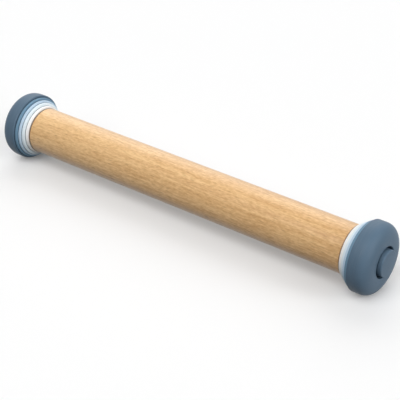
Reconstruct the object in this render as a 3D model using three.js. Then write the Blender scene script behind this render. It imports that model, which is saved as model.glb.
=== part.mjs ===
// Adjustable rolling pin: a beech roller with a stack of setting rings on each end.
// A knob with a threaded stem holds each stack on, and the largest disc carries the pin.
// Millimetres, X along the roller, Z up, origin at the middle of the roller's axis.

import * as THREE from "three";

// Beech roller
const ROLLER_RADIUS = 22;
const ROLLER_LENGTH = 350.8;
const ROLLER_EDGE_RADIUS = 0.8;

// How far each setting lifts the roller off the worktop, from the wood outward
const WHITE_LIFT = 1.5;
const PALE_LIFT = 4.1;
const LIGHT_LIFT = 5.9;
const MID_LIFT = 7.8;
const END_LIFT = 9.8;

// Setting rings. The white one, next to the wood, is the thickest.
const WHITE_THICKNESS = 3.2;
const RING_THICKNESS = 2.4;
const RING_EDGE_RADIUS = 0.4;

// End disc: a straight rim, then a rounded shoulder up to a flat face
const END_RIM_WIDTH = 6.5;
const END_SHOULDER_DEPTH = 11.8;
const END_SHOULDER_POWER = 2.5;
const END_EDGE_RADIUS = 0.9;
const END_WEB_THICKNESS = 8.5;
const END_MOUTH_RADIUS = 0.8;
const END_FACE_LAND = 1.5;
const END_SEAT_WIDTH = 2.6;

// Knob and the slip washer under its flange
const FINGER_GAP = 2.1;
const KNOB_PROUD = 3.3;
const KNOB_CROWN = 0.5;
const KNOB_EDGE_RADIUS = 1;
const KNOB_FLANGE_THICKNESS = 3;
const KNOB_WALL = 3;
const KNOB_TOP_WALL = 4.3;
const WASHER_THICKNESS = 1;

// Threaded stem, with a head that the knob is moulded round
const STEM_RADIUS = 6.5;
const STEM_REACH = 24;
const STEM_HEAD_THICKNESS = 2.6;
const STEM_TIP_CHAMFER = 1.5;
const STEM_TIP_CLEARANCE = 5;

// Hub: a plug in the wood and a spigot that centres the rings
const SPIGOT_WALL = 4.4;
const SPIGOT_SHORTFALL = 0.3;
const SPIGOT_CHAMFER = 0.6;
const PLUG_WALL = 2.7;
const HUB_FLOOR_THICKNESS = 5;
const GLUE_GROOVE_COUNT = 3;
const GLUE_GROOVE_WIDTH = 2;
const GLUE_GROOVE_DEPTH = 0.6;
const GLUE_GROOVE_PITCH = 8;

// Wood screw through the hub's floor
const SCREW_RADIUS = 2.2;
const SCREW_HEAD_RADIUS = 4.2;
const SCREW_LENGTH = 40;
const SCREW_POINT_LENGTH = 7;
const PILOT_EXTRA_DEPTH = 1;

// Clearances
const SEAT_GAP = 0.3;
const SLIDE_CLEARANCE = 0.3;
const THREAD_CLEARANCE = 0.3;
const GLUE_GAP = 0.3;
const SCREW_CLEARANCE = 0.3;
const MOULD_GAP = 0.3;

// Facets round each kind of piece. The end disc has few, with one flat straight down to lie on.
const ROLLER_FACETS = 48;
const RING_FACETS = 36;
const END_FACETS = 24;
const KNOB_FACETS = 32;
const HUB_FACETS = 24;
const SCREW_FACETS = 12;
const ARC_STEPS = 2;
const SHOULDER_STEPS = 10;
const CROWN_STEPS = 3;

// Radii, from the stem outward
const socketRadius = STEM_RADIUS + THREAD_CLEARANCE;
const plugRadius = socketRadius + PLUG_WALL;
const spigotRadius = socketRadius + SPIGOT_WALL;
const ringBoreRadius = spigotRadius + SLIDE_CLEARANCE;
const counterboreRadius = ringBoreRadius + END_SEAT_WIDTH;
const knobFlangeRadius = counterboreRadius - SLIDE_CLEARANCE;
const knobRadius = counterboreRadius - FINGER_GAP;
const stemHeadRadius = knobRadius - KNOB_WALL;
const endFaceRadius = counterboreRadius + END_FACE_LAND;
const endRadius = ROLLER_RADIUS + END_LIFT;

// Places along one end, measured outward from the wood's end face
const whiteX = SEAT_GAP;
const paleX = whiteX + WHITE_THICKNESS + SEAT_GAP;
const lightX = paleX + RING_THICKNESS + SEAT_GAP;
const midX = lightX + RING_THICKNESS + SEAT_GAP;
const endInnerX = midX + RING_THICKNESS + SEAT_GAP;
const endShoulderX = endInnerX + END_RIM_WIDTH;
const endFaceX = endShoulderX + END_SHOULDER_DEPTH;
const endSeatX = endInnerX + END_WEB_THICKNESS;
const spigotEndX = endSeatX - SPIGOT_SHORTFALL;
const washerX = endSeatX + SEAT_GAP;
const flangeX = washerX + WASHER_THICKNESS + SEAT_GAP;
const flangeTopX = flangeX + KNOB_FLANGE_THICKNESS;
const knobRimX = endFaceX + KNOB_PROUD;
const stemHeadTopX = knobRimX - KNOB_TOP_WALL;
const stemHeadX = stemHeadTopX - STEM_HEAD_THICKNESS;
const socketFloorX = -STEM_REACH - STEM_TIP_CLEARANCE;
const plugEndX = socketFloorX - HUB_FLOOR_THICKNESS;
const screwHeadX = socketFloorX - SEAT_GAP;
const screwPointX = screwHeadX - SCREW_LENGTH;

// Colours of the pieces
const finish = {
  beech: { color: 0xdcb483, roughness: 0.55, metalness: 0 },
  white: { color: 0xf7f6f0, roughness: 0.4, metalness: 0 },
  pale: { color: 0xdde9f3, roughness: 0.4, metalness: 0 },
  light: { color: 0xb4cddd, roughness: 0.4, metalness: 0 },
  mid: { color: 0x7393ab, roughness: 0.4, metalness: 0 },
  dark: { color: 0x5f7187, roughness: 0.45, metalness: 0 },
  nylon: { color: 0xe6e4dc, roughness: 0.5, metalness: 0 },
  steel: { color: 0xb9bcc0, roughness: 0.3, metalness: 1 },
};

// A quarter round of [x, radius] points about a centre, between two angles in quarter turns
function arc(centreX, centreRadius, radius, from, to, steps = ARC_STEPS) {
  return Array.from({ length: steps + 1 }, (_, i) => {
    const angle = (from + ((to - from) * i) / steps) * (Math.PI / 2);
    return [centreX + radius * Math.cos(angle), centreRadius + radius * Math.sin(angle)];
  });
}

// Turns a profile of [x, radius] points about the X axis, with one flat of the outside straight down
function turned(profile, facets) {
  const points = profile.map(([x, radius]) => new THREE.Vector2(radius, x));
  const geometry = new THREE.LatheGeometry(points, facets, Math.PI / facets);
  return geometry.rotateZ(-Math.PI / 2);
}

// Closes a profile that doesn't touch the axis
function ringProfile(points) {
  return [...points, points[0]];
}

function piece(name, profile, facets, look) {
  const mesh = new THREE.Mesh(turned(profile, facets), new THREE.MeshStandardMaterial(look));
  mesh.name = name;
  return mesh;
}

function rollerProfile() {
  const endX = ROLLER_LENGTH / 2;
  const boreRadius = plugRadius + GLUE_GAP;
  const boreEndX = endX + plugEndX - GLUE_GAP;
  const pilotRadius = SCREW_RADIUS + SCREW_CLEARANCE;
  const pilotEndX = endX + screwPointX - PILOT_EXTRA_DEPTH;
  const edge = arc(endX - ROLLER_EDGE_RADIUS, ROLLER_RADIUS - ROLLER_EDGE_RADIUS, ROLLER_EDGE_RADIUS, 1, 0);
  const rightHalf = [
    ...edge,
    [endX, boreRadius],
    [boreEndX, boreRadius],
    [boreEndX, pilotRadius],
    [pilotEndX, pilotRadius],
    [pilotEndX, 0],
  ];
  const leftHalf = rightHalf.map(([x, radius]) => [-x, radius]).reverse();
  return [...leftHalf, ...rightHalf];
}

function hubProfile() {
  const holeRadius = SCREW_RADIUS + SCREW_CLEARANCE;
  const sinkRadius = SCREW_HEAD_RADIUS + SCREW_CLEARANCE;
  const sinkEndX = screwHeadX - (sinkRadius - holeRadius);
  const groovesX = (plugEndX - (GLUE_GROOVE_COUNT - 1) * GLUE_GROOVE_PITCH) / 2;
  const grooves = Array.from({ length: GLUE_GROOVE_COUNT }, (_, i) => {
    const x = groovesX + i * GLUE_GROOVE_PITCH;
    return [
      [x - GLUE_GROOVE_WIDTH / 2, plugRadius],
      [x - GLUE_GROOVE_WIDTH / 2, plugRadius - GLUE_GROOVE_DEPTH],
      [x + GLUE_GROOVE_WIDTH / 2, plugRadius - GLUE_GROOVE_DEPTH],
      [x + GLUE_GROOVE_WIDTH / 2, plugRadius],
    ];
  }).flat();
  return ringProfile([
    [plugEndX, holeRadius],
    [plugEndX, plugRadius - SPIGOT_CHAMFER],
    [plugEndX + SPIGOT_CHAMFER, plugRadius],
    ...grooves,
    [SEAT_GAP, plugRadius],
    [SEAT_GAP, spigotRadius],
    [spigotEndX - SPIGOT_CHAMFER, spigotRadius],
    [spigotEndX, spigotRadius - SPIGOT_CHAMFER],
    [spigotEndX, socketRadius + SPIGOT_CHAMFER],
    [spigotEndX - SPIGOT_CHAMFER, socketRadius],
    [socketFloorX, socketRadius],
    [socketFloorX, sinkRadius],
    [screwHeadX, sinkRadius],
    [sinkEndX, holeRadius],
  ]);
}

function screwProfile() {
  const neckX = screwHeadX - (SCREW_HEAD_RADIUS - SCREW_RADIUS);
  return [
    [screwPointX, 0],
    [screwPointX + SCREW_POINT_LENGTH, SCREW_RADIUS],
    [neckX, SCREW_RADIUS],
    [screwHeadX, SCREW_HEAD_RADIUS],
    [screwHeadX, 0],
  ];
}

function settingRingProfile(innerX, thickness, lift) {
  const outerX = innerX + thickness;
  const radius = ROLLER_RADIUS + lift;
  const edge = RING_EDGE_RADIUS;
  return ringProfile([
    [innerX, ringBoreRadius],
    ...arc(innerX + edge, radius - edge, edge, 2, 1),
    ...arc(outerX - edge, radius - edge, edge, 1, 0),
    [outerX, ringBoreRadius],
  ]);
}

function endDiscProfile() {
  const edge = END_EDGE_RADIUS;
  const mouth = END_MOUTH_RADIUS;
  const shoulder = Array.from({ length: SHOULDER_STEPS + 1 }, (_, i) => {
    const angle = (i / SHOULDER_STEPS) * (Math.PI / 2);
    const inward = Math.max(Math.cos(angle), 0) ** (2 / END_SHOULDER_POWER);
    const outward = Math.sin(angle) ** (2 / END_SHOULDER_POWER);
    return [
      endShoulderX + END_SHOULDER_DEPTH * outward,
      endFaceRadius + (endRadius - endFaceRadius) * inward,
    ];
  });
  return ringProfile([
    [endInnerX, ringBoreRadius],
    ...arc(endInnerX + edge, endRadius - edge, edge, 2, 1),
    ...shoulder,
    ...arc(endFaceX - mouth, counterboreRadius + mouth, mouth, 0, -1),
    [endSeatX, counterboreRadius],
    [endSeatX, ringBoreRadius],
  ]);
}

function washerProfile() {
  return ringProfile([
    [washerX, socketRadius],
    [washerX, knobFlangeRadius],
    [washerX + WASHER_THICKNESS, knobFlangeRadius],
    [washerX + WASHER_THICKNESS, socketRadius],
  ]);
}

function knobProfile() {
  const edge = KNOB_EDGE_RADIUS;
  const boreRadius = STEM_RADIUS + MOULD_GAP;
  const pocketRadius = stemHeadRadius + MOULD_GAP;
  const crownRadius = knobRadius - edge;
  const crown = Array.from({ length: CROWN_STEPS }, (_, i) => {
    const share = (CROWN_STEPS - 1 - i) / CROWN_STEPS;
    return [knobRimX + KNOB_CROWN * (1 - share * share), crownRadius * share];
  });
  return [
    [stemHeadTopX + MOULD_GAP, 0],
    [stemHeadTopX + MOULD_GAP, pocketRadius],
    [stemHeadX - MOULD_GAP, pocketRadius],
    [stemHeadX - MOULD_GAP, boreRadius],
    [flangeX, boreRadius],
    [flangeX, knobFlangeRadius],
    [flangeTopX, knobFlangeRadius],
    [flangeTopX, knobRadius],
    ...arc(knobRimX - edge, knobRadius - edge, edge, 1, 0),
    ...crown,
  ];
}

function stemProfile() {
  return [
    [-STEM_REACH, 0],
    [-STEM_REACH, STEM_RADIUS - STEM_TIP_CHAMFER],
    [-STEM_REACH + STEM_TIP_CHAMFER, STEM_RADIUS],
    [stemHeadX, STEM_RADIUS],
    [stemHeadX, stemHeadRadius],
    [stemHeadTopX, stemHeadRadius],
    [stemHeadTopX, 0],
  ];
}

// One end of the pin, built outward along +X from the wood's end face
function pinEnd(side) {
  const end = new THREE.Group();
  const whiteRing = settingRingProfile(whiteX, WHITE_THICKNESS, WHITE_LIFT);
  const paleRing = settingRingProfile(paleX, RING_THICKNESS, PALE_LIFT);
  const lightRing = settingRingProfile(lightX, RING_THICKNESS, LIGHT_LIFT);
  const midRing = settingRingProfile(midX, RING_THICKNESS, MID_LIFT);
  end.add(
    piece(`${side}_hub`, hubProfile(), HUB_FACETS, finish.nylon),
    piece(`${side}_hub_screw`, screwProfile(), SCREW_FACETS, finish.steel),
    piece(`${side}_white_ring`, whiteRing, RING_FACETS, finish.white),
    piece(`${side}_pale_ring`, paleRing, RING_FACETS, finish.pale),
    piece(`${side}_light_ring`, lightRing, RING_FACETS, finish.light),
    piece(`${side}_mid_ring`, midRing, RING_FACETS, finish.mid),
    piece(`${side}_end_disc`, endDiscProfile(), END_FACETS, finish.dark),
    piece(`${side}_washer`, washerProfile(), HUB_FACETS, finish.nylon),
    piece(`${side}_knob`, knobProfile(), KNOB_FACETS, finish.dark),
    piece(`${side}_stem`, stemProfile(), HUB_FACETS, finish.nylon),
  );
  return end;
}

const rollingPin = new THREE.Group();
rollingPin.add(piece("beech_roller", rollerProfile(), ROLLER_FACETS, finish.beech));

const rightEnd = pinEnd("right");
rightEnd.position.x = ROLLER_LENGTH / 2;
const leftEnd = pinEnd("left");
leftEnd.position.x = -ROLLER_LENGTH / 2;
leftEnd.rotation.z = Math.PI;
rollingPin.add(leftEnd, rightEnd);

export default rollingPin;
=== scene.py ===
import math

import bmesh
import bpy
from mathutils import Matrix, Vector


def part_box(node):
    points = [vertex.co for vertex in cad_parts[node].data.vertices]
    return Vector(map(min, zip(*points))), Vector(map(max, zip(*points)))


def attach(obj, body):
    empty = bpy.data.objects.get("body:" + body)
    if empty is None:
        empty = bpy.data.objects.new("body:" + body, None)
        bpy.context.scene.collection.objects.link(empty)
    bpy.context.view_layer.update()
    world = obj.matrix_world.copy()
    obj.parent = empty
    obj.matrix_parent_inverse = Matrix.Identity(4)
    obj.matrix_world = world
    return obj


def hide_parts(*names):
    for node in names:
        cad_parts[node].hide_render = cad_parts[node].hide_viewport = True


# Adjustable rolling pin: a beech roller between two stacks of setting rings, each held on by a knob.
# Metres, X along the roller, Z up, origin at the middle of the roller's axis.

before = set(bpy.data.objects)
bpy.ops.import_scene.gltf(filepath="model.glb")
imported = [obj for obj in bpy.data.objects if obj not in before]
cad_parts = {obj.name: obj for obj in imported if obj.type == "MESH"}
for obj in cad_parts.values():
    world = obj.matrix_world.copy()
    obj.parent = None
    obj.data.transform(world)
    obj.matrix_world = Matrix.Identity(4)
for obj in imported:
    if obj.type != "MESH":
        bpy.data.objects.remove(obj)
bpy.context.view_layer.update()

MM = 0.001

# How far shapes that are joined or trimmed run into each other
OVERLAP = 1 * MM


def true_radius(node, facets):
    """The radius of the circle round a node whose flats lie square to Y and Z."""
    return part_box(node)[1].z / math.cos(math.pi / facets)


def span(node):
    """Where a node starts and ends along the roller."""
    low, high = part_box(node)
    return low.x, high.x


# Facets round the solids
ROLLER_FACETS = 48
RING_FACETS = 36
END_FACETS = 24
KNOB_FACETS = 32
HUB_FACETS = 24
SCREW_FACETS = 12

# Beech roller
ROLLER_RADIUS = true_radius("beech_roller", ROLLER_FACETS)
WOOD_END = span("beech_roller")[1]
ROLLER_EDGE = 0.8 * MM
PLUG_BORE = 9.8 * MM
PLUG_BORE_DEPTH = 34.3 * MM
PILOT_RADIUS = 2.5 * MM
PILOT_DEPTH = 70.3 * MM

# Setting rings, from the wood outward
RING_TONES = ("white", "pale", "light", "mid")
RING_BORE = 11.5 * MM
RING_EDGE = 0.4 * MM
BORE_EDGE = 0.25 * MM

# End disc: a straight rim, a rounded shoulder, a flat face and a counterbore for the knob
END_RADIUS = true_radius("right_end_disc", END_FACETS)
END_RIM_WIDTH = 6.5 * MM
END_SHOULDER_POWER = 2.5
END_SHOULDER_STEPS = 32
END_FACE_RADIUS = 15.6 * MM
END_EDGE = 0.9 * MM
END_MOUTH = 0.8 * MM
END_WEB = 8.5 * MM
COUNTERBORE = 14.1 * MM

# Knob
KNOB_FLANGE_RADIUS = true_radius("right_knob", KNOB_FACETS)
KNOB_RADIUS = 12 * MM
KNOB_EDGE = 1 * MM
KNOB_BEVEL = 0.98 * KNOB_EDGE
KNOB_FLANGE_THICKNESS = 3 * MM
KNOB_FILLET = 0.5 * MM
KNOB_CROWN = 0.5 * MM
KNOB_CROWN_STEPS = 10
KNOB_BORE = 6.8 * MM
KNOB_POCKET = 9.3 * MM
MOULD_GAP = 0.3 * MM

# Slip washer
WASHER_RADIUS = true_radius("right_washer", HUB_FACETS)
WASHER_BORE = 6.8 * MM
WASHER_EDGE = 0.2 * MM

# Stem with a coarse two-start thread, and the same thread in the hub
STEM_RADIUS = 6.5 * MM
STEM_NECK_RADIUS = 6.4 * MM
STEM_HEAD_RADIUS = true_radius("right_stem", HUB_FACETS)
STEM_HEAD_THICKNESS = 2.6 * MM
STEM_TIP_CHAMFER = 1.5 * MM
THREAD_LEAD = 8 * MM
THREAD_STARTS = 2
THREAD_DEPTH = 1 * MM
THREAD_FLANK = 0.8 * MM
THREAD_CLEARANCE = 0.3 * MM
THREAD_STEPS = 64
NECK_LENGTH = 8.5 * MM
NECK_START = span("right_stem")[1] - STEM_HEAD_THICKNESS - NECK_LENGTH

# Hub: a grooved plug in the wood and a spigot that centres the rings
SPIGOT_RADIUS = true_radius("right_hub", HUB_FACETS)
SPIGOT_CHAMFER = 0.6 * MM
SEAT_GAP = 0.3 * MM
PLUG_RADIUS = 9.5 * MM
SOCKET_RADIUS = 5.9 * MM
SOCKET_MOUTH = 7 * MM
SOCKET_DEPTH = 29 * MM
SCREW_HOLE = 2.5 * MM
SCREW_SINK = 4.5 * MM
GROOVE_COUNT = 3
GROOVE_WIDTH = 2 * MM
GROOVE_DEPTH = 0.6 * MM
GROOVE_PITCH = 8 * MM

# Countersunk wood screw
SCREW_RADIUS = 2.2 * MM
SCREW_CORE = 1.5 * MM
SCREW_SHANK_LENGTH = 12 * MM
SCREW_HEAD_RADIUS = true_radius("right_hub_screw", SCREW_FACETS)
SCREW_POINT_LENGTH = 7 * MM
SCREW_LEAD = 2 * MM
SCREW_STARTS = 1
SCREW_FLANK = 0.8 * MM
SCREW_RUN_OUT = 0.05 * MM
SCREW_STEPS = 32
RECESS_WIDTH = 0.9 * MM
RECESS_LENGTH = 4.8 * MM
RECESS_DEPTH = 2 * MM
RECESS_TAPER = 0.45
RECESS_ARMS = 2
INWARD_NORMAL = -0.5

# Steps round the turned pieces and of a rounded corner, and leads of thread that are cut off again
WIDE_STEPS = 160
NARROW_STEPS = 96
SMALL_STEPS = 48
CORNER_STEPS = 4
SPARE_LEADS = 2

# How near points are merged, and the angle up to which an edge is shaded smooth
SAME_PLACE = 0.001 * MM
WELD = 0.0001 * MM
SMOOTH_ANGLE = math.radians(32)


def select_only(piece):
    bpy.ops.object.select_all(action="DESELECT")
    piece.select_set(True)
    bpy.context.view_layer.objects.active = piece


def draw(outline):
    """Draws half of a section, as points (x, radius), by extruding a plane merged into one point."""
    bpy.ops.object.select_all(action="DESELECT")
    bpy.ops.mesh.primitive_plane_add(size=MM)
    bpy.ops.object.mode_set(mode="EDIT")
    bpy.ops.mesh.select_all(action="SELECT")
    bpy.ops.mesh.merge(type="CENTER")
    x, radius = outline[0]
    bpy.ops.transform.translate(value=(x, 0, radius))
    for (x0, radius0), (x1, radius1) in zip(outline, outline[1:]):
        step = (x1 - x0, 0, radius1 - radius0)
        bpy.ops.mesh.extrude_region_move(TRANSFORM_OT_translate={"value": step})
    bpy.ops.mesh.select_all(action="SELECT")
    bpy.ops.mesh.remove_doubles(threshold=SAME_PLACE)


def round_corners(size, *corners):
    """Rounds the drawn section's corners that lie at these points (x, radius)."""
    bpy.context.tool_settings.mesh_select_mode = (True, False, False)
    bpy.ops.mesh.select_all(action="DESELECT")
    mesh = bpy.context.object.data
    drawing = bmesh.from_edit_mesh(mesh)
    for vertex in drawing.verts:
        vertex.select = any(
            math.hypot(vertex.co.x - x, vertex.co.z - radius) < SAME_PLACE for x, radius in corners
        )
    drawing.select_flush_mode()
    bmesh.update_edit_mesh(mesh)
    bpy.ops.mesh.bevel(offset=size, segments=CORNER_STEPS, affect="VERTICES")


def turn(steps):
    """Spins the drawn section about the roller's axis into a closed piece."""
    bpy.ops.mesh.select_all(action="SELECT")
    bpy.ops.mesh.spin(steps=steps, angle=math.tau, center=(0, 0, 0), axis=(1, 0, 0))
    bpy.ops.mesh.select_all(action="SELECT")
    bpy.ops.mesh.remove_doubles(threshold=SAME_PLACE)
    bpy.ops.mesh.normals_make_consistent(inside=False)
    bpy.ops.object.mode_set(mode="OBJECT")
    return bpy.context.object


def apply_modifier(piece, kind, **settings):
    select_only(piece)
    bpy.ops.object.modifier_add(type=kind)
    modifier = piece.modifiers[-1]
    for name, value in settings.items():
        setattr(modifier, name, value)
    bpy.ops.object.modifier_apply(modifier=modifier.name)


def combine(piece, tool, operation):
    """Joins, cuts or trims a piece with another, which is used up."""
    apply_modifier(piece, "BOOLEAN", operation=operation, object=tool, solver="EXACT")
    bpy.data.objects.remove(tool)
    return piece


def smooth(piece):
    """Shades round surfaces smooth, keeping flat faces flat and sharp edges sharp."""
    select_only(piece)
    bpy.ops.object.shade_smooth_by_angle(angle=SMOOTH_ANGLE)
    apply_modifier(piece, "WEIGHTED_NORMAL", keep_sharp=True)
    return piece


def closed(points):
    return [*points, points[0]]


def thread_bar(start, stop, crest, depth, lead, starts, flank, steps):
    """A right-hand threaded bar: one lead of its section, wound along X and cut square at both ends."""
    pitch = lead / starts
    flat = pitch / 2 - flank
    root = crest - depth
    section = [(start - lead, root)]
    for tooth in range(starts):
        x = start - lead + tooth * pitch
        section += [
            (x + flat, root),
            (x + flat + flank, crest),
            (x + 2 * flat + flank, crest),
            (x + pitch, root),
        ]
    draw(section)
    bpy.ops.object.mode_set(mode="OBJECT")
    bar = bpy.context.object
    apply_modifier(
        bar,
        "SCREW",
        axis="X",
        screw_offset=lead,
        iterations=math.ceil((stop - start) / lead) + SPARE_LEADS,
        steps=steps,
        render_steps=steps,
        use_merge_vertices=True,
        merge_threshold=SAME_PLACE,
    )
    bpy.ops.object.mode_set(mode="EDIT")
    for x, outward in ((start, -1), (stop, 1)):
        bpy.ops.mesh.select_all(action="SELECT")
        bpy.ops.mesh.bisect(
            plane_co=(x, 0, 0),
            plane_no=(outward, 0, 0),
            use_fill=True,
            clear_outer=True,
            threshold=WELD,
        )
    bpy.ops.mesh.select_all(action="SELECT")
    bpy.ops.mesh.remove_doubles(threshold=WELD)
    bpy.ops.mesh.normals_make_consistent(inside=False)
    bpy.ops.object.mode_set(mode="OBJECT")
    return bar


def beech_roller():
    """Solid beech, bored at each end for a hub's plug and its screw."""
    bore_end = WOOD_END - PLUG_BORE_DEPTH
    pilot_end = WOOD_END - PILOT_DEPTH
    right_half = [
        (WOOD_END, ROLLER_RADIUS),
        (WOOD_END, PLUG_BORE),
        (bore_end, PLUG_BORE),
        (bore_end, PILOT_RADIUS),
        (pilot_end, PILOT_RADIUS),
        (pilot_end, 0),
    ]
    left_half = [(-x, radius) for x, radius in reversed(right_half)]
    draw(left_half + right_half)
    round_corners(ROLLER_EDGE, (WOOD_END, ROLLER_RADIUS), (-WOOD_END, ROLLER_RADIUS))
    return turn(WIDE_STEPS)


def setting_ring(tone):
    """A flat moulded ring with softened edges."""
    node = f"right_{tone}_ring"
    inner, outer = span(node)
    radius = true_radius(node, RING_FACETS)
    draw(closed([(inner, RING_BORE), (inner, radius), (outer, radius), (outer, RING_BORE)]))
    round_corners(RING_EDGE, (inner, radius), (outer, radius))
    round_corners(BORE_EDGE, (inner, RING_BORE), (outer, RING_BORE))
    return turn(WIDE_STEPS)


def end_disc():
    """The largest setting: its shoulder is a superellipse from the rim to the flat face."""
    inner, face = span("right_end_disc")
    shoulder_start = inner + END_RIM_WIDTH
    seat = inner + END_WEB
    shoulder = []
    for i in range(END_SHOULDER_STEPS + 1):
        angle = math.pi / 2 * i / END_SHOULDER_STEPS
        outward = math.sin(angle) ** (2 / END_SHOULDER_POWER)
        inward = max(math.cos(angle), 0) ** (2 / END_SHOULDER_POWER)
        x = shoulder_start + (face - shoulder_start) * outward
        shoulder.append((x, END_FACE_RADIUS + (END_RADIUS - END_FACE_RADIUS) * inward))
    draw(
        closed(
            [
                (inner, RING_BORE),
                (inner, END_RADIUS),
                *shoulder,
                (face, COUNTERBORE),
                (seat, COUNTERBORE),
                (seat, RING_BORE),
            ]
        )
    )
    round_corners(END_EDGE, (inner, END_RADIUS))
    round_corners(END_MOUTH, (face, COUNTERBORE))
    round_corners(BORE_EDGE, (inner, RING_BORE), (seat, RING_BORE))
    return turn(WIDE_STEPS)


def knob():
    """A low round boss with a flange, moulded round the stem's head."""
    flange, top = span("right_knob")
    rim = top - KNOB_CROWN
    flange_top = flange + KNOB_FLANGE_THICKNESS
    head_top = span("right_stem")[1] + MOULD_GAP
    head_seat = span("right_stem")[1] - STEM_HEAD_THICKNESS - MOULD_GAP
    crown = []
    for i in range(1, KNOB_CROWN_STEPS + 1):
        share = 1 - i / KNOB_CROWN_STEPS
        crown.append((rim + KNOB_CROWN * (1 - share**2), (KNOB_RADIUS - KNOB_EDGE) * share))
    draw(
        [
            (head_top, 0),
            (head_top, KNOB_POCKET),
            (head_seat, KNOB_POCKET),
            (head_seat, KNOB_BORE),
            (flange, KNOB_BORE),
            (flange, KNOB_FLANGE_RADIUS),
            (flange_top, KNOB_FLANGE_RADIUS),
            (flange_top, KNOB_RADIUS),
            (rim, KNOB_RADIUS),
            (rim, KNOB_RADIUS - KNOB_EDGE),
            *crown,
        ]
    )
    round_corners(KNOB_BEVEL, (rim, KNOB_RADIUS))
    round_corners(KNOB_FILLET, (flange_top, KNOB_RADIUS), (flange_top, KNOB_FLANGE_RADIUS))
    round_corners(BORE_EDGE, (flange, KNOB_FLANGE_RADIUS), (flange, KNOB_BORE))
    return turn(WIDE_STEPS)


def slip_washer():
    """A thin nylon ring between the knob's flange and the end disc."""
    inner, outer = span("right_washer")
    corners = [
        (inner, WASHER_BORE),
        (inner, WASHER_RADIUS),
        (outer, WASHER_RADIUS),
        (outer, WASHER_BORE),
    ]
    draw(closed(corners))
    round_corners(WASHER_EDGE, *corners)
    return turn(NARROW_STEPS)


def stem_thread(start, stop, clearance):
    """The two-start thread that the stem and the hub share."""
    crest = STEM_RADIUS + clearance
    return thread_bar(
        start, stop, crest, THREAD_DEPTH, THREAD_LEAD, THREAD_STARTS, THREAD_FLANK, THREAD_STEPS
    )


def stem():
    """A threaded stem with a plain neck and a flat head."""
    tip, top = span("right_stem")
    head = top - STEM_HEAD_THICKNESS
    piece = stem_thread(WOOD_END - SOCKET_DEPTH, NECK_START, 0)
    draw(
        [
            (NECK_START - OVERLAP, 0),
            (NECK_START - OVERLAP, STEM_NECK_RADIUS),
            (head, STEM_NECK_RADIUS),
            (head, STEM_HEAD_RADIUS),
            (top, STEM_HEAD_RADIUS),
            (top, 0),
        ]
    )
    round_corners(BORE_EDGE, (head, STEM_HEAD_RADIUS), (top, STEM_HEAD_RADIUS))
    combine(piece, turn(NARROW_STEPS), "UNION")
    # A shape round the whole stem, which cuts its tip to a chamfer
    tip_radius = STEM_RADIUS - STEM_TIP_CHAMFER
    wide = STEM_HEAD_RADIUS + OVERLAP
    past_top = top + OVERLAP
    draw([(tip, 0), (tip, tip_radius), (tip + wide - tip_radius, wide), (past_top, wide), (past_top, 0)])
    return combine(piece, turn(NARROW_STEPS), "INTERSECT")


def hub():
    """A nylon plug with glue grooves, and a spigot whose socket is tapped for the stem."""
    plug_end, spigot_end = span("right_hub")
    collar = WOOD_END + SEAT_GAP
    floor = WOOD_END - SOCKET_DEPTH
    # The socket is wider where the stem's neck lies in it
    mouth_end = NECK_START - OVERLAP - SEAT_GAP
    sink_top = span("right_hub_screw")[1]
    sink_end = sink_top - (SCREW_SINK - SCREW_HOLE)
    first_groove = (plug_end + WOOD_END - (GROOVE_COUNT - 1) * GROOVE_PITCH) / 2
    grooves = []
    for i in range(GROOVE_COUNT):
        x = first_groove + i * GROOVE_PITCH
        low, high = x - GROOVE_WIDTH / 2, x + GROOVE_WIDTH / 2
        bottom = PLUG_RADIUS - GROOVE_DEPTH
        grooves += [(low, PLUG_RADIUS), (low, bottom), (high, bottom), (high, PLUG_RADIUS)]
    draw(
        closed(
            [
                (plug_end, SCREW_HOLE),
                (plug_end, PLUG_RADIUS - SPIGOT_CHAMFER),
                (plug_end + SPIGOT_CHAMFER, PLUG_RADIUS),
                *grooves,
                (collar, PLUG_RADIUS),
                (collar, SPIGOT_RADIUS),
                (spigot_end - SPIGOT_CHAMFER, SPIGOT_RADIUS),
                (spigot_end, SPIGOT_RADIUS - SPIGOT_CHAMFER),
                (spigot_end, SOCKET_MOUTH + SPIGOT_CHAMFER),
                (spigot_end - SPIGOT_CHAMFER, SOCKET_MOUTH),
                (mouth_end, SOCKET_MOUTH),
                (mouth_end - (SOCKET_MOUTH - SOCKET_RADIUS), SOCKET_RADIUS),
                (floor, SOCKET_RADIUS),
                (floor, SCREW_SINK),
                (sink_top, SCREW_SINK),
                (sink_end, SCREW_HOLE),
            ]
        )
    )
    piece = turn(NARROW_STEPS)
    # A whole pitch above the floor, so that the tap is in step with the stem's thread
    tap_start = floor + THREAD_LEAD / THREAD_STARTS
    tap = stem_thread(tap_start, spigot_end + THREAD_LEAD, THREAD_CLEARANCE)
    return combine(piece, tap, "DIFFERENCE")


def cross_recess(head):
    """One arm of the recess for a cross-head driver, narrowing inward."""
    bpy.ops.object.select_all(action="DESELECT")
    bpy.ops.mesh.primitive_cube_add(size=1)
    arm = bpy.context.object
    bpy.ops.object.mode_set(mode="EDIT")
    bpy.ops.transform.resize(value=(2 * RECESS_DEPTH, RECESS_WIDTH, RECESS_LENGTH))
    bpy.ops.mesh.select_all(action="DESELECT")
    block = bmesh.from_edit_mesh(arm.data)
    for face in block.faces:
        face.select = face.normal.x < INWARD_NORMAL
    bmesh.update_edit_mesh(arm.data)
    bpy.ops.transform.resize(value=(1, RECESS_TAPER, RECESS_TAPER))
    bpy.ops.mesh.select_all(action="SELECT")
    bpy.ops.transform.translate(value=(head, 0, 0))
    bpy.ops.object.mode_set(mode="OBJECT")
    return arm


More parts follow.
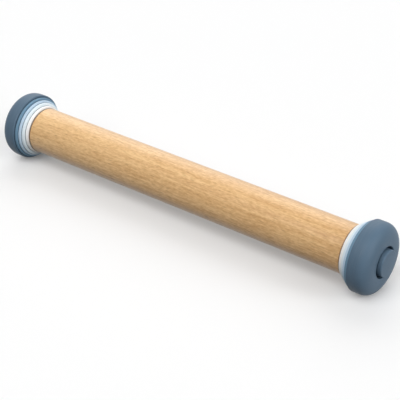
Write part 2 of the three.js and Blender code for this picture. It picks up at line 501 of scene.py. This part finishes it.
def hub_screw():
    """A countersunk steel wood screw that holds the hub in the roller."""
    point, head = span("right_hub_screw")
    neck = head - (SCREW_HEAD_RADIUS - SCREW_RADIUS)
    shank = neck - SCREW_SHANK_LENGTH
    thread_end = shank + OVERLAP
    thread_depth = SCREW_RADIUS - SCREW_CORE
    piece = thread_bar(
        point - SCREW_LEAD,
        thread_end,
        SCREW_RADIUS,
        thread_depth,
        SCREW_LEAD,
        SCREW_STARTS,
        SCREW_FLANK,
        SCREW_STEPS,
    )
    draw(
        [
            (shank - OVERLAP, 0),
            (shank - OVERLAP, SCREW_CORE - SCREW_RUN_OUT),
            (shank, SCREW_RADIUS + SCREW_RUN_OUT),
            (neck, SCREW_RADIUS + SCREW_RUN_OUT),
            (head, SCREW_HEAD_RADIUS),
            (head, 0),
        ]
    )
    combine(piece, turn(SMALL_STEPS), "UNION")
    # A shape round the whole screw, which cuts its thread to a point
    wide = SCREW_HEAD_RADIUS + OVERLAP
    cone_end = point + wide * SCREW_POINT_LENGTH / SCREW_RADIUS
    past_head = head + OVERLAP
    draw([(point, 0), (cone_end, wide), (past_head, wide), (past_head, 0)])
    combine(piece, turn(SMALL_STEPS), "INTERSECT")
    for quarter in range(RECESS_ARMS):
        arm = cross_recess(head)
        select_only(arm)
        bpy.ops.transform.rotate(value=quarter * math.pi / 2, orient_axis="X", center_override=(0, 0, 0))
        bpy.ops.object.transform_apply()
        combine(piece, arm, "DIFFERENCE")
    return piece


class Value:
    """A number or colour that a shader node gives, so that shader maths reads as plain expressions."""

    def __init__(self, graph, node, output):
        self.graph = graph
        self.node = node
        self.socket = node.outputs[output]

    def also(self, output):
        """Another output of the same node."""
        return Value(self.graph, self.node, output)

    def __add__(self, other):
        return self.graph.math("ADD", self, other)

    def __sub__(self, other):
        return self.graph.math("SUBTRACT", self, other)

    def __rsub__(self, other):
        return self.graph.math("SUBTRACT", other, self)

    def __mul__(self, other):
        return self.graph.math("MULTIPLY", self, other)

    def __truediv__(self, other):
        return self.graph.math("DIVIDE", self, other)

    def __pow__(self, other):
        return self.graph.math("POWER", self, other)

    __radd__ = __add__
    __rmul__ = __mul__


# Sockets of a Mix node that mixes colours
MIX_SHARE = 0
MIX_FROM = 6
MIX_TO = 7
MIX_RESULT = 2


class Graph:
    """A shader's nodes."""

    def __init__(self, owner):
        owner.use_nodes = True
        self.tree = owner.node_tree

    def node(self, kind, settings, inputs, output=0):
        """Adds a node: its settings first, then a value or a link for each named input."""
        made = self.tree.nodes.new("ShaderNode" + kind)
        for name, value in settings.items():
            setattr(made, name, value)
        for name, value in inputs.items():
            self.feed(made.inputs[name], value)
        return Value(self, made, output)

    def feed(self, socket, value):
        if isinstance(value, Value):
            self.tree.links.new(value.socket, socket)
        else:
            socket.default_value = value

    def math(self, operation, *values):
        return self.node("Math", {"operation": operation}, dict(enumerate(values)))

    def mix(self, share, colour, other):
        """A colour that goes from one to the other as share goes from 0 to 1."""
        inputs = {MIX_SHARE: share, MIX_FROM: colour, MIX_TO: other}
        return self.node("Mix", {"data_type": "RGBA"}, inputs, MIX_RESULT)

    def fade(self, value, start, stop):
        """0 before start, 1 after stop, and smooth between them."""
        limits = {"Value": value, "From Min": start, "From Max": stop}
        return self.node("MapRange", {"interpolation_type": "SMOOTHSTEP"}, limits)


# The middle of a noise, a mix or a height that runs from 0 to 1
MIDDLE = 0.5


class Finish(Graph):
    """The material of one kind of piece, patterned on Object coordinates."""

    def __init__(self, name, **constants):
        self.material = bpy.data.materials.new(name)
        super().__init__(self.material)
        self.shader = self.tree.nodes["Principled BSDF"]
        for socket, value in constants.items():
            self.shader.inputs[socket.replace("_", " ")].default_value = value
        self.place = self.node("TexCoord", {}, {}, "Object")
        parts = self.node("SeparateXYZ", {}, {0: self.place})
        self.x, self.y, self.z = (parts.also(axis) for axis in "XYZ")

    def set(self, socket, value):
        self.feed(self.shader.inputs[socket], value)

    def from_axis(self):
        """How far a point lies from the roller's axis."""
        return (self.y * self.y + self.z * self.z) ** 0.5

    def from_middle(self):
        """How far a point lies from the middle of the roller, along it."""
        return self.math("ABSOLUTE", self.x)

    def noise(self, scale, detail=2.0, place=None):
        """Noise about 0, with its own scale along each axis, in marks per metre."""
        stretched = self.node("Mapping", {}, {"Vector": place or self.place, "Scale": scale})
        return self.node("TexNoise", {}, {"Vector": stretched, "Scale": 1.0, "Detail": detail}) - MIDDLE

    def relief(self, height, strength, depth):
        """Feeds the normal with a height that varies from 0 to 1 over a depth in metres."""
        bump = self.node("Bump", {}, {"Height": height, "Strength": strength, "Distance": depth})
        self.set("Normal", bump)


# Beech, with the pith below the roller, so that annual rings are edge on in front and flat on top
PITH_Y = 12 * MM
PITH_Z = -64 * MM
PITH_DEPTH = math.hypot(PITH_Y, PITH_Z)
YEAR_WIDTH = 3.45 * MM
YEAR_PHASE = 0.21
YEAR_WANDER = 1.8 * MM
EARLY_WOOD_FALL = 3
FLECK_LENGTH = 10 * MM
FLECK_WIDTH = 1 * MM
FLECK_DEPTH = 5 * MM
FLECK_EDGE = (0.12, 0.34)
FLECK_CHOICE = (0.35, 0.6)
BEECH_DARK = (0.61, 0.333, 0.128, 1)
BEECH_LIGHT = (0.855, 0.56, 0.27, 1)
BEECH_FLECK = (0.40, 0.195, 0.072, 1)
END_GRAIN_LIGHT = (0.56, 0.31, 0.125, 1)
END_GRAIN_DARK = (0.36, 0.175, 0.066, 1)
# Painted shade on the rounded edge at each end of the wood, where it meets the rings
EDGE_SHADE = (0.17, 0.085, 0.04, 1)
EDGE_SHADE_WIDTH = 1.5 * MM

# Marks of the grain per metre, along X, Y and Z
WANDER_MARKS = (5, 22, 22)
BAND_MARKS = (9, 260, 260)
STREAK_MARKS = (28, 620, 620)
DASH_MARKS = (240, 800, 800)
FIBRE_MARKS = (700, 3000, 3000)

# Tone of the wood: at its middle, its fall per metre to the right, and what each mark adds
MIDDLE_TONE = 0.46
TONE_FALL = 0.8
EARLY_WOOD_TONE = 0.3
BAND_TONE = 0.55
STREAK_TONE = 1.2
DASH_TONE = 1.8
FIBRE_TONE = 0.5
FLECK_SHARE = 0.45
EDGE_SHADE_SHARE = 0.8

# Roughness and relief of the wood
BEECH_ROUGHNESS = 0.45
STREAK_GLOSS = 0.15
FLECK_ROUGHNESS = 0.12
END_GRAIN_ROUGHNESS = 0.2
STREAK_HEIGHT = 0.6
FIBRE_HEIGHT = 0.5
FLECK_HEIGHT = 0.4
BEECH_RELIEF = 0.25
BEECH_RELIEF_DEPTH = 0.12 * MM


def oiled_beech():
    """Beech with annual rings, fibre streaks and ray flecks, and end grain, with painted shade on the
    rounded edge where the wood meets the rings.
    """
    wood = Finish(
        "oiled_beech", Specular_IOR_Level=0.05, Coat_Weight=0.88, Coat_Roughness=0.28, Coat_IOR=1.47
    )
    wander = wood.noise(WANDER_MARKS) * YEAR_WANDER
    across = wood.y - PITH_Y
    above = wood.z - PITH_Z
    depth = (across * across + above * above) ** 0.5 + wander
    bearing = wood.math("ARCTAN2", across, above)
    season = wood.math("FRACT", depth / YEAR_WIDTH + YEAR_PHASE)
    early_wood = (1 - season) ** EARLY_WOOD_FALL
    band = wood.noise(BAND_MARKS)
    streak = wood.noise(STREAK_MARKS)
    dash = wood.noise(DASH_MARKS)
    fibre = wood.noise(FIBRE_MARKS)
    round_pith = bearing * (PITH_DEPTH / FLECK_WIDTH)
    ray_place = wood.node(
        "CombineXYZ", {}, {0: wood.x / FLECK_LENGTH, 1: round_pith, 2: depth / FLECK_DEPTH}
    )
    ray = wood.node("TexVoronoi", {}, {"Vector": ray_place, "Scale": 1.0})
    ray_tone = wood.node("SeparateColor", {}, {0: ray.also("Color")})
    fleck = (1 - wood.fade(ray, *FLECK_EDGE)) * wood.fade(ray_tone, *FLECK_CHOICE)
    tone = MIDDLE_TONE - wood.x * TONE_FALL + early_wood * EARLY_WOOD_TONE + band * BAND_TONE
    tone = tone + streak * STREAK_TONE + dash * DASH_TONE + fibre * FIBRE_TONE
    colour = wood.mix(tone, BEECH_DARK, BEECH_LIGHT)
    colour = wood.mix(fleck * FLECK_SHARE, colour, BEECH_FLECK)
    end_face = wood.fade(wood.from_middle(), WOOD_END - EDGE_SHADE_WIDTH, WOOD_END - ROLLER_EDGE)
    end_rim = wood.fade(wood.from_axis(), ROLLER_RADIUS - EDGE_SHADE_WIDTH, ROLLER_RADIUS - ROLLER_EDGE)
    end_grain = wood.mix(early_wood + dash + fibre, END_GRAIN_LIGHT, END_GRAIN_DARK)
    colour = wood.mix(end_face, colour, end_grain)
    # Painted shade darkens the rounded edge at each end of the wood
    wood.set("Base Color", wood.mix(end_face * end_rim * EDGE_SHADE_SHARE, colour, EDGE_SHADE))
    roughness = BEECH_ROUGHNESS - streak * STREAK_GLOSS + fleck * FLECK_ROUGHNESS
    wood.set("Roughness", roughness + end_face * END_GRAIN_ROUGHNESS)
    height = MIDDLE + streak * STREAK_HEIGHT + fibre * FIBRE_HEIGHT - fleck * FLECK_HEIGHT
    wood.relief(height, BEECH_RELIEF, BEECH_RELIEF_DEPTH)
    return wood.material


# Moulded plastics: colour and roughness
PLASTICS = {
    "white": ((0.98, 0.975, 0.955), 0.42),
    "pale": ((0.80, 0.90, 0.98), 0.42),
    "light": ((0.545, 0.69, 0.83), 0.42),
    "mid": ((0.172, 0.30, 0.42), 0.42),
    "dark": ((0.096, 0.153, 0.216), 0.45),
}

# Where painted shade and scuffs lie on the plastic, and the length of scuff pattern to a radian
# Painted shade: a band round each rim at the seam with its outer neighbour, and one at the foot of its
# inner face, in the corner against the smaller ring
SEAM_SHADE_WIDTH = 0.5 * MM
CORNER_SHADE_WIDTH = 0.5 * MM
SHADE_REACH = 1.2 * MM
SCUFF_DEPTH = 0.5 * MM
SCUFF_TURN = 2 * MM

# Marks of the plastic per metre, those of the scuffs along X, round the axis and outward
DRIFT_MARKS = (55, 55, 55)
TEXTURE_MARKS = (2600, 2600, 2600)
SCUFF_MARKS = (2200, 900, 300)
SCUFF_DETAIL = 3
SCUFF_EDGE = (0.02, 0.22)

# Shades of the plastic, as shares of its own colour, and how far each mark goes towards them
DARKER = 0.93
LIGHTER = 1.06
SCUFFED = 0.85
SCUFF_GREY = 0.05
# The colour of the painted shade in the seams and corners
SHADED = 0.3
DRIFT_TONE = 0.9
TEXTURE_TONE = 0.3
SCUFF_SHARE = 0.5
SHADE_SHARE = 0.72

# Roughness and relief that the marks give the plastic
DRIFT_ROUGHNESS = 0.12
TEXTURE_ROUGHNESS = 0.1
SCUFF_GLOSS = 0.08
SHADE_ROUGHNESS = 0.2
PLASTIC_RELIEF = 0.18
PLASTIC_RELIEF_DEPTH = 0.05 * MM


def shade(colour, share, grey=0.0):
    """A colour made darker or lighter, with a little grey mixed in."""
    return (*(min(1.0, part * share + grey) for part in colour), 1)


def moulded(name, colour, roughness, rim, face, seam, corner):
    """Satin plastic with a fine texture, scuffed where its rim rolls, with painted shade at its seams
    and in its corners.
    """
    plastic = Finish(name, Specular_IOR_Level=0.16)
    drift = plastic.noise(DRIFT_MARKS)
    texture = plastic.noise(TEXTURE_MARKS)
    from_axis = plastic.from_axis()
    from_middle = plastic.from_middle()
    bearing = plastic.math("ARCTAN2", plastic.y, plastic.z)
    round_place = plastic.node("CombineXYZ", {}, {0: plastic.x, 1: bearing * SCUFF_TURN, 2: from_axis})
    scuff = plastic.fade(plastic.noise(SCUFF_MARKS, SCUFF_DETAIL, round_place), *SCUFF_EDGE)
    worn = plastic.fade(from_axis, rim - SCUFF_DEPTH, rim) * scuff
    # Painted shade at the seam round the rim, and in the corner at the foot of the inner face
    on_rim = plastic.fade(from_axis, rim - SHADE_REACH, rim - RING_EDGE)
    seam_shade = on_rim * plastic.fade(from_middle, seam - SEAM_SHADE_WIDTH, seam)
    on_face = 1 - plastic.fade(from_middle, face, face + CORNER_SHADE_WIDTH)
    in_corner = plastic.fade(from_axis, corner - SHADE_REACH, corner - RING_EDGE)
    corner_shade = on_face * in_corner * (1 - plastic.fade(from_axis, corner, corner + CORNER_SHADE_WIDTH))
    painted_shade = plastic.math("MAXIMUM", seam_shade, corner_shade)
    tone = MIDDLE + drift * DRIFT_TONE + texture * TEXTURE_TONE
    tint = plastic.mix(tone, shade(colour, DARKER), shade(colour, LIGHTER))
    tint = plastic.mix(worn * SCUFF_SHARE, tint, shade(colour, SCUFFED, SCUFF_GREY))
    # Painted shade darkens the colour at the seams and corners
    plastic.set("Base Color", plastic.mix(painted_shade * SHADE_SHARE, tint, shade(colour, SHADED)))
    roughness = roughness + drift * DRIFT_ROUGHNESS + texture * TEXTURE_ROUGHNESS
    plastic.set("Roughness", roughness - worn * SCUFF_GLOSS + painted_shade * SHADE_ROUGHNESS)
    plastic.relief(MIDDLE + texture, PLASTIC_RELIEF, PLASTIC_RELIEF_DEPTH)
    return plastic.material


# Natural nylon of the pieces inside
NYLON_DARK = (0.70, 0.69, 0.62, 1)
NYLON_LIGHT = (0.82, 0.81, 0.75, 1)
NYLON_CLOUD_MARKS = (140, 140, 140)
NYLON_CLOUD_DETAIL = 3
NYLON_TEXTURE_MARKS = (1800, 1800, 1800)
NYLON_ROUGHNESS = 0.42
NYLON_CLOUD_ROUGHNESS = 0.2
NYLON_TEXTURE_ROUGHNESS = 0.08
NYLON_TEXTURE_HEIGHT = 0.6
NYLON_RELIEF = 0.12
NYLON_RELIEF_DEPTH = 0.04 * MM


def natural_nylon():
    """Off-white nylon, slightly cloudy."""
    nylon = Finish("natural_nylon", Specular_IOR_Level=0.5)
    cloud = nylon.noise(NYLON_CLOUD_MARKS, NYLON_CLOUD_DETAIL)
    texture = nylon.noise(NYLON_TEXTURE_MARKS)
    nylon.set("Base Color", nylon.mix(MIDDLE + cloud, NYLON_DARK, NYLON_LIGHT))
    roughness = NYLON_ROUGHNESS + cloud * NYLON_CLOUD_ROUGHNESS
    nylon.set("Roughness", roughness + texture * NYLON_TEXTURE_ROUGHNESS)
    nylon.relief(MIDDLE + texture * NYLON_TEXTURE_HEIGHT, NYLON_RELIEF, NYLON_RELIEF_DEPTH)
    return nylon.material


# Zinc plate of the screws
STEEL_DARK = (0.55, 0.56, 0.58, 1)
STEEL_LIGHT = (0.66, 0.67, 0.68, 1)
TURNING_MARKS = (5200, 60, 60)
STEEL_CLOUD_MARKS = (400, 400, 400)
STEEL_ROUGHNESS = 0.3
TURNING_ROUGHNESS = 0.16
STEEL_CLOUD_ROUGHNESS = 0.1
TURNING_HEIGHT = 0.5
STEEL_RELIEF = 0.12
STEEL_RELIEF_DEPTH = 0.03 * MM


def plated_steel():
    """Bright zinc plate with turning marks round the axis."""
    steel = Finish("plated_steel", Metallic=1.0)
    marks = steel.noise(TURNING_MARKS)
    cloud = steel.noise(STEEL_CLOUD_MARKS)
    steel.set("Base Color", steel.mix(MIDDLE + cloud, STEEL_DARK, STEEL_LIGHT))
    roughness = STEEL_ROUGHNESS + marks * TURNING_ROUGHNESS
    steel.set("Roughness", roughness + cloud * STEEL_CLOUD_ROUGHNESS)
    steel.relief(MIDDLE + marks * TURNING_HEIGHT, STEEL_RELIEF, STEEL_RELIEF_DEPTH)
    return steel.material


def place_on(piece, name, body, node, material):
    """Names a finished piece, gives it its material and fixes it to its body in place of its node."""
    piece.name = name
    piece.data.name = name
    piece.data.materials.clear()
    piece.data.materials.append(material)
    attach(piece, body)
    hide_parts(node)


def half_turned(piece):
    """A copy for the left end, turned half round the upright axis, with its own mesh."""
    select_only(piece)
    bpy.ops.object.duplicate(linked=False)
    bpy.ops.transform.rotate(value=math.pi, orient_axis="Z", center_override=(0, 0, 0))
    bpy.ops.object.transform_apply()
    return bpy.context.object


def build_pin():
    """Makes the roller, and each piece of an end once for the right and as a copy for the left."""
    materials = {"beech": oiled_beech(), "nylon": natural_nylon(), "steel": plated_steel()}
    inner_rim = ROLLER_RADIUS
    for tone, (colour, roughness) in PLASTICS.items():
        if tone == "dark":
            rim = END_RADIUS
            face = span("right_end_disc")[0]
            # Past the knob, because the outermost slice has no seam on its far side
            seam = span("right_knob")[1] + MM
        else:
            rim = true_radius(f"right_{tone}_ring", RING_FACETS)
            face, seam = span(f"right_{tone}_ring")
        materials[tone] = moulded(f"{tone}_plastic", colour, roughness, rim, face, seam, inner_rim)
        inner_rim = rim
    roller = smooth(beech_roller())
    place_on(roller, "turned_beech_roller", "roller", "beech_roller", materials["beech"])
    makers = {f"{tone}_ring": (lambda tone=tone: setting_ring(tone), tone, None) for tone in RING_TONES}
    makers["end_disc"] = (end_disc, "dark", None)
    makers["washer"] = (slip_washer, "nylon", None)
    makers["knob"] = (knob, "dark", "knob")
    makers["stem"] = (stem, "nylon", "knob")
    makers["hub"] = (hub, "nylon", "roller")
    makers["hub_screw"] = (hub_screw, "steel", "roller")
    for node, (make, slot, carrier) in makers.items():
        right = smooth(make())
        left = half_turned(right)
        for side, piece in (("right", right), ("left", left)):
            body = carrier if carrier == "roller" else f"{side}_{carrier or node}"
            place_on(piece, f"{side}_finished_{node}", body, f"{side}_{node}", materials[slot])


# Floor, light and camera
FLOOR_SIZE = 8.0
FLOOR_WHITE = (0.8, 0.8, 0.8, 1)
FLOOR_BOUNCE = (0.11, 0.11, 0.11, 1)
FLOOR_GLOW = (0.13, 0.13, 0.13, 1)
BLACK = (0, 0, 0, 1)
WHITE = (1, 1, 1, 1)
AMBIENT = 0.03
PANEL_SPREAD = math.radians(50)
# Soft panels round the table: (azimuth from the front towards +X, elevation, strength)
PANELS = {
    "front_panel": (0, 53, 2.0),
    "right_panel": (90, 24, 1.9),
    "left_panel": (-90, 40, 0.2),
    "back_left_panel": (-144, 41, 0.9),
    "back_panel": (178, 45, 0.3),
}
CAMERA_PLACE = Vector((0.5801, -0.7370, 0.5495))
CAMERA_AIM = Vector((0.0229, -0.0094, -0.0028))
CAMERA_LENS = 108.29
SENSOR_WIDTH = 36.0


def seen_directly(graph):
    """1 for rays from the camera, from gloss and through glass, and 0 for light that is passed on."""
    path = graph.node("LightPath", {}, {}, "Is Camera Ray")
    gloss = graph.math("MAXIMUM", path, path.also("Is Glossy Ray"))
    return graph.math("MAXIMUM", gloss, path.also("Is Transmission Ray"))


def build_stage():
    bpy.ops.object.select_all(action="DESELECT")
    bpy.ops.mesh.primitive_plane_add(size=FLOOR_SIZE, location=(0, 0, -END_RADIUS))
    floor = bpy.context.object
    floor.name = "studio_floor"
    paper = bpy.data.materials.new("white_paper")
    graph = Graph(paper)
    shader = graph.tree.nodes["Principled BSDF"]
    directly = seen_directly(graph)
    graph.feed(shader.inputs["Base Color"], graph.mix(directly, FLOOR_BOUNCE, FLOOR_WHITE))
    graph.feed(shader.inputs["Emission Color"], graph.mix(directly, BLACK, FLOOR_GLOW))
    shader.inputs["Emission Strength"].default_value = 1.0
    shader.inputs["Roughness"].default_value = 1.0
    shader.inputs["Specular IOR Level"].default_value = 0.0
    floor.data.materials.append(paper)

    world = bpy.data.worlds.new("white_studio")
    bpy.context.scene.world = world
    graph = Graph(world)
    background = graph.tree.nodes["Background"]
    background.inputs["Color"].default_value = WHITE
    graph.feed(background.inputs["Strength"], AMBIENT + seen_directly(graph) * (1 - AMBIENT))

    for name, (azimuth, elevation, strength) in PANELS.items():
        bpy.ops.object.light_add(type="SUN")
        panel = bpy.context.object
        panel.name = name
        panel.rotation_euler = (math.radians(90 - elevation), 0, math.radians(azimuth))
        panel.data.energy = strength
        panel.data.angle = PANEL_SPREAD


def build_camera():
    bpy.ops.object.camera_add(location=CAMERA_PLACE)
    camera = bpy.context.object
    camera.rotation_euler = (CAMERA_AIM - CAMERA_PLACE).to_track_quat("-Z", "Y").to_euler()
    camera.data.sensor_width = SENSOR_WIDTH
    camera.data.lens = CAMERA_LENS
    bpy.context.scene.camera = camera


build_pin()
build_stage()
build_camera()
bpy.context.scene.view_settings.view_transform = "Standard"
